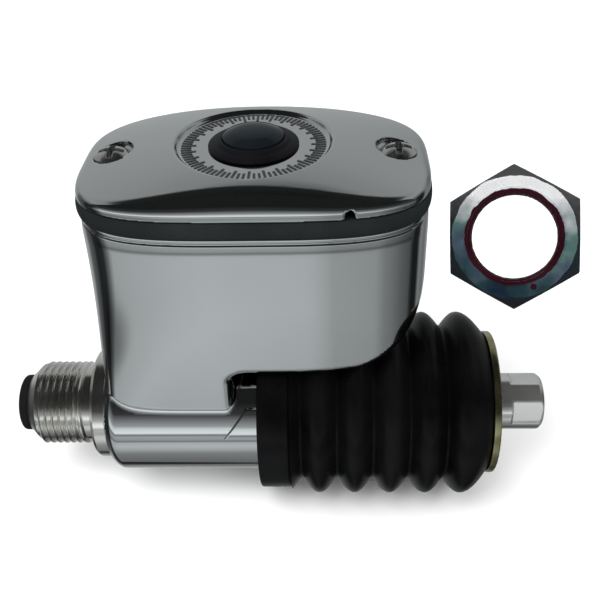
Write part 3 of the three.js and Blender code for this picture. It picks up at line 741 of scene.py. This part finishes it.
def boot_pad():
    """Raised pad with a slanted edge on the front of the barrel, where the boot ends."""
    left, bottom, top = 35.2, 3.2, 10.8
    slant_run = 5.9
    proud = 0.6
    sunk = 1.2
    slant_length = math.hypot(slant_run, top - bottom)

    def field(x, y, z):
        radial = np.hypot(y, z)
        slant = ((z - bottom) * slant_run - (x - left) * (top - bottom)) / slant_length
        face = round_overlap(radial - BARREL_R - proud, slant, 0.3)
        face = round_overlap(face, np.maximum(bottom - z, z - top), 0.3)
        front_shell = np.maximum(BARREL_R - sunk - radial, y)
        return overlap(face, front_shell, x - COLLAR_START + 0.1)

    sculpted("casting_boot_pad", field, (34, -19, 2.4), (44.6, -9, 11.6), 0.2, "cylinder", "chrome")


def dome_height(x, y):
    return DOME_PEAK - (x - PLAN_X) ** 2 / DOME_SPAN_X - (y - PLAN_Y) ** 2 / DOME_SPAN_Y


def screw_pocket(x, y, z):
    """Flat pocket with a countersink and a clearance hole, at both screws."""
    nearest = np.hypot(np.abs(x - PLAN_X) - SCREW_OFFSET, y - PLAN_Y)
    pocket = round_overlap(nearest - POCKET_R, SCREW_SEAT - z, 0.6)
    cone = (nearest - SCREW_HEAD_R - 0.2 + SCREW_SEAT - z) / math.sqrt(2)
    cone = np.maximum(cone, z - SCREW_SEAT - 1)
    return np.minimum(np.minimum(pocket, cone), nearest - SCREW_R - 0.25)


def cover_field(x, y, z):
    """Domed blank with a dish, a hollow underside, a window hole, screw pockets and a vent notch."""
    height = dome_height(x, y)
    top = (z - height) * 0.98
    plan = plan_distance(x, y, HALF_LENGTH, HALF_DEPTH)
    rounding = np.clip(height - RIM - RIM_WALL, 1.5, 6.0)
    blank = round_overlap(top, plan, rounding)
    blank = round_overlap(blank, RIM + 0.05 - z, 0.35)
    radial = np.hypot(x - PLAN_X, y - PLAN_Y)
    dish_wall = (radial - DISH_FLOOR_R - (z - DISH_FLOOR) * DISH_WALL_RUN) * 0.86
    dish = round_overlap(dish_wall, DISH_FLOOR - z, 0.5)
    cover = round_overlap(blank, -dish, 0.35)
    hollow = np.maximum(plan_distance(x, y, CUP_HALF_LENGTH, CUP_HALF_DEPTH), z - COVER_UNDERSIDE)
    vent = np.hypot(x - VENT_X, np.maximum(z - RIM - VENT_RISE, 0)) - VENT_R
    vent = np.maximum(vent, y - PLAN_Y + HALF_DEPTH - VENT_DEPTH)
    for cut in (hollow, radial - SIGHT_HOLE_R, screw_pocket(x, y, z), vent):
        cover = round_overlap(cover, -cut, 0.3)
    return cover


def reservoir_cover():
    low, high = (2.5, -18, 64), (88, 37.5, 76)
    sculpted("cover_casting", cover_field, low, high, 0.5, "cover", "chrome", replaces="reservoir_cover")


def cover_marks(count=84, inner=13.4, length=3.5, width=0.6, height=0.12):
    """Ring of plain raised tick marks on the floor of the dish, every third one longer."""
    box_faces = ((3, 2, 1, 0), (4, 5, 6, 7), (0, 1, 5, 4), (1, 2, 6, 5), (2, 3, 7, 6), (3, 0, 4, 7))
    vertices, faces = [], []
    for i in range(count):
        angle = 2 * math.pi * i / count
        out_x, out_y = math.cos(angle), math.sin(angle)
        start = inner if i % 3 == 0 else inner + 0.3 * length
        stop = inner + length
        base = len(vertices)
        for z in (DISH_FLOOR - 0.1, DISH_FLOOR + height):
            for r, side in ((start, -width), (stop, -width), (stop, width), (start, width)):
                x = PLAN_X + out_x * r - out_y * side / 2
                y = PLAN_Y + out_y * r + out_x * side / 2
                vertices.append((x, y, z))
        for quad in box_faces:
            faces.append(tuple(base + corner for corner in quad))
    add_mesh("cover_tick_marks", vertices, faces, "cover", "mark_enamel", slot="chrome")


def cover_gasket():
    """Rubber band between bowl and cover, with the diaphragm cup moulded to it."""
    middle = (BOWL_TOP + RIM) / 2
    half = (RIM - BOWL_TOP) / 2
    cup_bottom = BOWL_TOP - CUP_DEPTH

    def field(x, y, z):
        bulge = GASKET_BULGE * (1 - ((np.clip(z, BOWL_TOP, RIM) - middle) / half) ** 2)
        plan = plan_distance(x, y, HALF_LENGTH + bulge, HALF_DEPTH + bulge)
        band = round_overlap(plan, np.abs(z - middle) - half + 0.02, 0.4)
        taper = (RIM - z) * CUP_TAPER
        outer = plan_distance(x, y, CUP_HALF_LENGTH + CUP_WALL - taper, CUP_HALF_DEPTH + CUP_WALL - taper)
        cup = overlap(outer, cup_bottom - z, z - middle)
        inner = plan_distance(x, y, CUP_HALF_LENGTH - taper, CUP_HALF_DEPTH - taper)
        hollow = round_overlap(inner, cup_bottom + CUP_WALL - z, 1.0)
        holes = np.hypot(np.abs(x - PLAN_X) - SCREW_OFFSET, y - PLAN_Y) - SCREW_R - 0.35
        return overlap(np.minimum(band, cup), -hollow, -holes)

    near_band = (60.6, 66.6, 0.4)
    low, high = (2.5, -18.5, 51), (88, 38, 67)
    sculpted("cover_gasket_band", field, low, high, 0.6, "cylinder", "gasket_rubber", fine_z=near_band,
             replaces="cover_gasket")


def sight_grommet():
    """Rubber grommet that grips the edge of the window hole and holds the glass."""
    base = DISH_FLOOR + 0.05
    top = base + GROMMET_HEIGHT
    neck_r = SIGHT_HOLE_R - 0.15
    seat_r = LENS_R + 0.08
    lip_top = COVER_UNDERSIDE - 0.1
    lip_bottom = COVER_UNDERSIDE - 1.5
    outline = softened([
        (lip_bottom, WINDOW_R), (lip_bottom, GROMMET_LIP_R - 1.0), (lip_bottom + 0.7, GROMMET_LIP_R),
        (lip_top, GROMMET_LIP_R), (lip_top, neck_r), (base, neck_r), (base, GROMMET_R),
        (base + 0.5, GROMMET_R), (top, GROMMET_R - 1.0), (top + 0.25, LENS_R + 1.5),
        (top + 0.9, LENS_R + 1.0), (top + 1.0, seat_r), (base + 0.6, seat_r), (base + 0.6, WINDOW_R),
    ], 0.35)
    turned("sight_grommet", outline, "cover", "seal_rubber", "Z", (PLAN_X, PLAN_Y),
           replaces="sight_glass_grommet")


def sight_lens():
    """Black glass button with a low domed top, and a stem down through the grommet."""
    stem_r = WINDOW_R - 0.1
    stem_end = COVER_UNDERSIDE - 2.2
    seat = DISH_FLOOR + 0.7
    top = DISH_FLOOR + LENS_HEIGHT
    rise = 1.1
    dome = []
    for step in range(1, 8):
        angle = math.radians(8 + 82 * step / 8)
        dome.append((top - rise + rise * math.sin(angle), (LENS_R - 1.3) * math.cos(angle)))
    outline = [
        (stem_end, 0), (stem_end, stem_r), (seat, stem_r), (seat, LENS_R),
        (top - 1.5, LENS_R), (top - rise, LENS_R - 0.5), *dome, (top, 0),
    ]
    turned("sight_lens_button", outline, "cover", "sight_lens", "Z", (PLAN_X, PLAN_Y), smooth_angle=50,
           replaces="sight_glass")


def cover_screw(side, node, body):
    """Oval-head screw with a cross recess and a rolled thread."""
    centre_x = PLAN_X + side * SCREW_OFFSET
    seat = SCREW_SEAT - 0.1
    crown_r = (SCREW_HEAD_R ** 2 + SCREW_CROWN ** 2) / (2 * SCREW_CROWN)
    thread_top = seat - 4
    recess_depth = 2.2

    def head_and_shank(x, y, z):
        radial = np.hypot(x, y)
        cone = (radial - SCREW_HEAD_R + seat - z) / math.sqrt(2)
        crown = np.sqrt(radial ** 2 + (z - seat - SCREW_CROWN + crown_r) ** 2) - crown_r
        head = round_overlap(cone, crown, 0.25)
        turn = np.arctan2(y, x) / (2 * math.pi)
        wave = 0.5 + 0.5 * np.cos(2 * math.pi * (z / SCREW_PITCH - turn))
        shank = overlap(radial - SCREW_R + 0.3 * wave * (z < thread_top), z - seat, SCREW_TIP - z)
        return round_union(head, shank, 0.3)

    def recess(x, y, z):
        floor = seat + SCREW_CROWN - recess_depth - z
        half_width = 0.55 + 0.12 * (z - seat)
        half_length = 2.6 + 0.5 * (z - seat)
        arm_x = overlap(np.abs(x) - half_length, np.abs(y) - half_width, floor)
        arm_y = overlap(np.abs(y) - half_length, np.abs(x) - half_width, floor)
        return round_union(arm_x, arm_y, 0.5)

    def field(x, y, z):
        across, along = x - centre_x, y - PLAN_Y
        return round_overlap(head_and_shank(across, along, z), -recess(across, along, z), 0.15)

    reach = 5.2
    low = (centre_x - reach, PLAN_Y - reach, SCREW_TIP - 0.6)
    high = (centre_x + reach, PLAN_Y + reach, seat + SCREW_CROWN + 0.6)
    sculpted(node + "_oval_head", field, low, high, 0.24, body, "screw_steel", replaces=node)


# ---- cartridge and plug


def thread_wave(turns):
    """0 on a crest, 1 in a root, with a narrow flat crest."""
    share = np.abs((turns % 1.0) - 0.5) * 2
    return np.clip(share * 1.3 - 0.15, 0, 1)


def cartridge():
    """Nose with a real helical thread, flange, and the sleeve inside the barrel."""
    chamfer_run = THREAD_R - NOSE_END_R
    thread_start = NOSE_END + chamfer_run
    rows_per_turn = 9
    row_count = int((THREAD_END - thread_start) / THREAD_PITCH * rows_per_turn)
    thread_rows = [(thread_start + i * THREAD_PITCH / rows_per_turn, THREAD_R) for i in range(row_count)]
    chamfer_steps = [0.2 + i * chamfer_run / 8 for i in range(8)]
    chamfer = [(NOSE_END + step, NOSE_END_R + step) for step in chamfer_steps]

    def radius_at(along, radius, angle):
        if not NOSE_END < along < THREAD_END or radius < NOSE_END_R:
            return radius
        wave = float(thread_wave(along / THREAD_PITCH + angle / (2 * math.pi)))
        fade = min(1.0, max(0.0, (THREAD_END - along) / THREAD_PITCH))
        cut_r = THREAD_R - THREAD_DEPTH * wave * fade
        return max(min(radius, cut_r), min(radius, THREAD_R - THREAD_DEPTH))

    port = [(PORT_BOTTOM, 0), (PORT_BOTTOM, PORT_R), (NOSE_END + 0.3, PORT_R), (NOSE_END, PORT_R + 0.3)]
    flange = [
        (THREAD_END, THREAD_R), (THREAD_END + 0.5, NOSE_LAND_R), (-0.3, NOSE_LAND_R),
        (0, NOSE_LAND_R + 0.3), (0, FLANGE_R - 1.0), (0.3, FLANGE_R - 0.4), (1.0, FLANGE_R),
        (FLANGE_LENGTH - 0.3, FLANGE_R), (FLANGE_LENGTH, FLANGE_R - 0.3), (FLANGE_LENGTH, CARTRIDGE_R),
    ]
    sleeve = []
    for start, end, groove_r in SLEEVE_GROOVES:
        sleeve += groove(start, end, groove_r, CARTRIDGE_R)
    sleeve += [(CARTRIDGE_END, CARTRIDGE_R), (CARTRIDGE_END, BORE_R)]
    bore = [*groove(*SNAP_GROOVE, BORE_R), (BORE_START, BORE_R), (BORE_START, 0)]
    outline = [*port, (NOSE_END, NOSE_END_R), *chamfer, *thread_rows, *flange, *sleeve, *bore]
    turned("cartridge_nose_and_sleeve", outline, "cylinder", "machined_aluminium", segments=128,
           radius_at=radius_at, smooth_angle=28, replaces="cartridge_body")


def port_plug():
    """Press-in cap with a full rim and a slightly domed end."""
    rim_face = NOSE_END - 0.1
    plug_r = PORT_R - 0.06
    outline = softened([
        (PLUG_INNER_END, 0), (PLUG_INNER_END, plug_r - 0.7), (PLUG_INNER_END - 0.8, plug_r),
        (rim_face, plug_r), (rim_face, PLUG_RIM_R), (PLUG_RIM_END, PLUG_RIM_R),
        (PLUG_RIM_END - 0.3, PLUG_RIM_R - 1.0), (PLUG_TIP + 0.1, 3.0), (PLUG_TIP, 0),
    ], 0.5)
    turned("port_plug_cap", outline, "plug", "plug_plastic", smooth_angle=50, replaces="port_plug")


# ---- pushrod, washer, boot and springs


def pushrod():
    """Ball-ended rod whose head has four wrench flats and a threaded hole."""
    tilt = math.radians(ROD_TILT)

    def shaft(x, radial):
        ball = np.sqrt((x - ROD_BALL_X) ** 2 + radial ** 2) - ROD_BALL_R
        stem = overlap(radial - ROD_STEM_R, ROD_BALL_X - x, x - ROD_NECK_START - 4)
        return round_union(ball, stem, 0.8)

    def neck(x, radial):
        cone = (radial - ROD_NECK_R + ROD_NECK_START - x) / math.sqrt(2)
        return overlap(radial - ROD_NECK_R, cone, x - ROD_END + 4)

    def head(x, y, z, radial):
        blank = round_overlap(radial - ROD_HEAD_R, ROD_SHOULDER - x, 0.35)
        end_chamfer = (radial - ROD_HEAD_R + x - ROD_END + 1.0) / math.sqrt(2)
        blank = round_overlap(round_overlap(blank, end_chamfer, 0.2), x - ROD_END, 0.2)
        forward = -y * math.cos(tilt) + z * math.sin(tilt)
        upward = y * math.sin(tilt) + z * math.cos(tilt)
        square = np.maximum(np.abs(forward), np.abs(upward)) - ROD_FLATS / 2
        return round_overlap(blank, np.minimum(square, x - ROD_FLATS_START), 0.25)

    def field(x, y, z):
        radial = np.hypot(y, z)
        stepped = round_union(neck(x, radial), head(x, y, z, radial), 0.4)
        rod = round_union(shaft(x, radial), stepped, 0.5)
        thread = 0.2 * np.cos(2 * math.pi * x / ROD_HOLE_PITCH)
        hole = overlap(radial - ROD_HOLE_R - thread, ROD_SHOULDER - x)
        return np.maximum(rod, -hole)

    low, high = (33, -8.3, -8.3), (119.4, 8.3, 8.3)
    sculpted("pushrod_with_flats", field, low, high, 0.42, "rod", "zinc_steel", replaces="pushrod")


def boot_washer():
    end = WASHER_START + WASHER_THICKNESS
    outline = softened([
        (WASHER_START, WASHER_HOLE_R), (WASHER_START, WASHER_R), (end, WASHER_R), (end, WASHER_HOLE_R),
    ], 0.45)
    turned("boot_end_washer", outline, "plunger", "yellow_zinc", segments=128, replaces="boot_washer")


def bellows_radius(x):
    """Outside of the bellows: round crests with narrow valleys between them."""
    last_crest = FIRST_CREST + (FOLDS - 1) * FOLD_PITCH
    if x > last_crest:
        run = (x - last_crest) / (BOOT_END - last_crest)
        return CREST_R - (CREST_R - BOOT_END_R) * (1 - math.cos(0.5 * math.pi * min(run, 1)))
    share = math.cos(math.pi * (x - FIRST_CREST) / FOLD_PITCH) ** 2
    soft = 0.02
    wave = (math.sqrt(share + soft) - math.sqrt(soft)) / (math.sqrt(1 + soft) - math.sqrt(soft))
    return VALLEY_R + (CREST_R - VALLEY_R) * wave


def squash_with_stroke(piece):
    """Give a piece its own copy of its mesh; it is not shortened."""
    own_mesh(piece)


def dust_boot():
    """Plain collar on the barrel, and the bellows over the pushrod."""
    neck = BARREL_R + 0.1
    outline = softened([
        (COLLAR_START, neck), (COLLAR_START, COLLAR_R), (COLLAR_END - 0.6, COLLAR_R),
        (COLLAR_END, COLLAR_R - 0.9), (COLLAR_END, neck + 1.4), (BARREL_END + 0.3, neck),
    ], 0.6)
    turned("dust_boot_collar", outline, "cylinder", "boot_rubber", segments=128, replaces="dust_boot")
    start, steps = COLLAR_END - 0.3, 150
    rows = [start + (BOOT_END - start) * i / steps for i in range(steps + 1)]
    outside = [(x, bellows_radius(x)) for x in rows]
    inside = [(x, bellows_radius(x) - BOOT_WALL) for x in reversed(rows)]
    bellows = turned("dust_boot_bellows", outside + inside, "cylinder", "boot_rubber", segments=128,
                     smooth_angle=60)
    squash_with_stroke(bellows)


def coil_spring(name, node, start, end, mean_r, wire_r, turns):
    """Round-wire spring on the bore axis."""
    steps, sides = turns * 36, 10
    vertices = []
    for i in range(steps + 1):
        angle = 2 * math.pi * turns * i / steps
        x = start + wire_r + (end - start - 2 * wire_r) * i / steps
        for k in range(sides):
            turn = 2 * math.pi * k / sides
            radius = mean_r + wire_r * math.cos(turn)
            place = (x + wire_r * math.sin(turn), radius * math.cos(angle), radius * math.sin(angle))
            vertices.append(place)
    faces = quads_between(steps + 1, sides, wrap=False)
    faces.append(tuple(range(sides)))
    faces.append(tuple(reversed(range(steps * sides, (steps + 1) * sides))))
    piece = add_mesh(name, vertices, faces, "cylinder", "spring_steel", replaces=node)
    squash_with_stroke(piece)


# ---- mounting nut


def mounting_nut():
    """Hexagon nut with double chamfer and a helical thread, placed by its own matrix."""
    half = NUT_THICKNESS / 2

    def field(x, y, z):
        radial = np.hypot(x, y)
        sides = [x * math.cos(a) + y * math.sin(a) for a in (0, math.pi / 3, 2 * math.pi / 3)]
        hexagon = overlap(*[np.abs(side) for side in sides]) - NUT_ACROSS / 2
        chamfer = (radial - NUT_FACE_R) * 0.5 + (np.abs(z) - half) * 0.866
        turn = np.arctan2(y, x) / (2 * math.pi)
        bore_r = NUT_BORE_R + NUT_THREAD_DEPTH * thread_wave(z / THREAD_PITCH + turn)
        mouth_r = NUT_MOUTH_R + (np.abs(z) - half)
        bore = np.maximum(bore_r, mouth_r) - radial
        nut = round_overlap(hexagon, np.abs(z) - half, 0.2)
        nut = round_overlap(nut, chamfer, 0.3)
        return np.maximum(nut, bore * 0.8)

    reach = NUT_ACROSS / math.sqrt(3) + 1.2
    low, high = (-reach, -reach, -half - 0.9), (reach, reach, half + 0.9)
    piece = sculpted("mounting_hex_nut", field, low, high, 0.32, "nut", "nut_zinc", placed=nut_matrix(),
                     replaces="mounting_nut")
    piece.visible_glossy = False


def nut_matrix():
    """Face normal along NUT_FACING, one corner up, then a small roll."""
    place = NUT_PLACE + Vector((0, 0, AXIS_HEIGHT))
    side = Vector((0, 0, 1)).cross(NUT_FACING).normalized()
    up = NUT_FACING.cross(side)
    turn = Matrix((side, up, NUT_FACING)).transposed().to_4x4()
    return Matrix.Translation(place * MM) @ turn @ Matrix.Rotation(NUT_ROLL, 4, "Z")


# ---- studio


def area_light(name, place, power, size=0.5):
    """Square light aimed at the middle of the part."""
    data = bpy.data.lights.new(name, "AREA")
    data.size = size
    data.energy = power
    light = bpy.data.objects.new(name, data)
    light.location = place
    light.rotation_euler = (PART_MIDDLE - light.location).to_track_quat("-Z", "Y").to_euler()
    light.visible_glossy = False
    bpy.context.scene.collection.objects.link(light)


def grey_stops(stops, low, high):
    """Ramp stops from (degrees, brightness) pairs, spread over the angles low to high."""
    return [((angle - low) / (high - low), (grey * 0.98, grey, grey * 1.005)) for angle, grey in stops]


def mirror_room(nodes):
    """Colour a mirror sees in each direction: front and back walls, darker to some sides."""
    split = nodes.add("ShaderNodeSeparateXYZ")
    nodes.link(nodes.add("ShaderNodeTexCoord").outputs["Generated"], split.inputs[0])
    x, y, z = split.outputs
    elevation = nodes.math("ADD", nodes.math("DIVIDE", nodes.math("ARCSINE", z), math.pi), 0.5)
    front = nodes.ramp(elevation, grey_stops([
        (-90, 0.20), (-70, 0.24), (-56, 0.30), (-46, 0.55), (-40, 0.66), (-32, 0.60), (-29, 0.24),
        (-26, 0.42), (-20, 0.50), (-16, 0.22), (-13, 1.10), (-5, 0.90), (0, 0.45), (12, 0.20),
        (20, 0.05), (40, 0.015), (90, 0.015),
    ], -90, 90))
    back = nodes.ramp(elevation, grey_stops([
        (-90, 0.14), (-75, 0.25), (-60, 0.42), (-20, 0.5), (0, 0.45), (20, 0.42), (38, 0.36),
        (47, 0.30), (52, 0.08), (56, 0.02), (90, 0.01),
    ], -90, 90))
    azimuth = nodes.math("ARCTAN2", x, nodes.math("MULTIPLY", y, -1.0))
    azimuth = nodes.math("ADD", nodes.math("DIVIDE", azimuth, 2 * math.pi), 0.5)
    walls = nodes.ramp(azimuth, grey_stops([
        (-180, 1.0), (-145, 0.95), (-128, 0.75), (-120, 0.30), (-104, 0.16), (-98, 0.05),
        (-82, 0.05), (-74, 0.30), (-66, 0.80), (-30, 0.90), (-12, 1.0), (2, 0.92), (10, 0.68),
        (36, 0.60), (46, 0.42), (70, 0.24), (88, 0.16), (98, 0.03), (112, 0.04), (122, 0.55),
        (140, 0.35), (150, 0.6), (180, 1.0),
    ], -180, 180))
    is_front = nodes.math("LESS_THAN", y, 0.0)
    room = nodes.mixed(is_front, back, front)
    lowness = nodes.mapped(z, (0.10, 0.60), (1.0, 0.0), interpolation_type="SMOOTHSTEP")
    return nodes.mixed(lowness, room, walls, blend_type="MULTIPLY")


def studio_world():
    """Soft white all round for matt surfaces; mirrors see mirror_room() instead."""
    world = bpy.data.worlds.new("studio")
    world.use_nodes = True
    bpy.context.scene.world = world
    tree = world.node_tree
    tree.nodes.clear()
    nodes = Nodes(tree)
    mirror = nodes.add("ShaderNodeBackground")
    nodes.link(mirror_room(nodes), mirror.inputs["Color"])
    soft = nodes.add("ShaderNodeBackground")
    soft.inputs["Color"].default_value = (1, 1, 1, 1)
    soft.inputs["Strength"].default_value = 0.9
    choose = nodes.add("ShaderNodeMixShader")
    nodes.link(nodes.add("ShaderNodeLightPath").outputs["Is Glossy Ray"], choose.inputs["Fac"])
    nodes.link(soft.outputs[0], choose.inputs[1])
    nodes.link(mirror.outputs[0], choose.inputs[2])
    nodes.link(choose.outputs[0], nodes.add("ShaderNodeOutputWorld").inputs["Surface"])


def studio_floor():
    """Pale plain floor; mirror surfaces see the room instead of it."""
    reach = 3.0
    mesh = bpy.data.meshes.new("floor")
    corners = [(-reach, -reach), (reach, -reach), (reach, reach), (-reach, reach)]
    level = (FLOOR_Z + AXIS_HEIGHT) * MM
    mesh.from_pydata([(x, y, level) for x, y in corners], [], [(0, 1, 2, 3)])
    floor = bpy.data.objects.new("floor", mesh)
    bpy.context.scene.collection.objects.link(floor)
    paper = surface("floor_paper", (0.86, 0.86, 0.86), (0.90, 0.90, 0.90), (0.7, 0.9), patches=3,
                    grain=400, grain_height=0.01)
    mesh.materials.append(paper)
    floor.visible_glossy = False


def camera():
    """Camera above the front of the part, looking down at it from about 36 degrees."""
    yaw = math.radians(2.68)
    pitch = math.radians(35.91)
    roll = math.radians(1.97)
    target = Vector((55.08, 0, 34.02 + AXIS_HEIGHT)) * MM
    distance = 0.2114
    back = Vector((math.sin(yaw) * math.cos(pitch), -math.cos(yaw) * math.cos(pitch), math.sin(pitch)))
    right = Vector((math.cos(yaw), math.sin(yaw), 0))
    up = back.cross(right)
    rolled_right = right * math.cos(roll) - up * math.sin(roll)
    rolled_up = right * math.sin(roll) + up * math.cos(roll)
    place = Matrix((rolled_right, rolled_up, back)).transposed().to_4x4()
    place.translation = target + back * distance
    data = bpy.data.cameras.new("camera")
    data.lens = 51.0
    data.sensor_width = 36.0
    data.clip_start = 0.01
    view = bpy.data.objects.new("camera", data)
    view.matrix_world = place
    bpy.context.scene.collection.objects.link(view)
    bpy.context.scene.camera = view


def dress_kept_nodes():
    """Give the CAD nodes that stay visible their finishes."""
    finishes = {
        "cartridge_o_ring_front": "seal_rubber",
        "cartridge_o_ring_rear": "seal_rubber",
        "cartridge_retaining_ring": "spring_steel",
        "piston": "machined_aluminium",
        "primary_cup": "seal_rubber",
        "secondary_cup": "seal_rubber",
        "piston_stop_washer": "zinc_steel",
        "piston_snap_ring": "spring_steel",
    }
    for node, finish in finishes.items():
        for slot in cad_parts[node].material_slots:
            slot.link = "OBJECT"
            slot.material = MATERIALS[finish]


# ---- build

reservoir_body()
boot_pad()
reservoir_cover()
cover_marks()
cover_gasket()
sight_grommet()
sight_lens()
cover_screw(-1, "cover_screw_left", "left_screw")
cover_screw(1, "cover_screw_right", "right_screw")
cartridge()
port_plug()
pushrod()
boot_washer()
dust_boot()
coil_spring("pushrod_spring_coil", "pushrod_spring", **BOOT_SPRING)
coil_spring("piston_return_coil", "piston_return_spring", **RETURN_SPRING)
mounting_nut()
dress_kept_nodes()

studio_world()
studio_floor()
area_light("key_light", (-0.25, -0.35, 0.75), 6.0)
area_light("fill_light", (0.55, -0.45, 0.45), 3.0)
camera()
bpy.context.scene.view_settings.view_transform = "Standard"
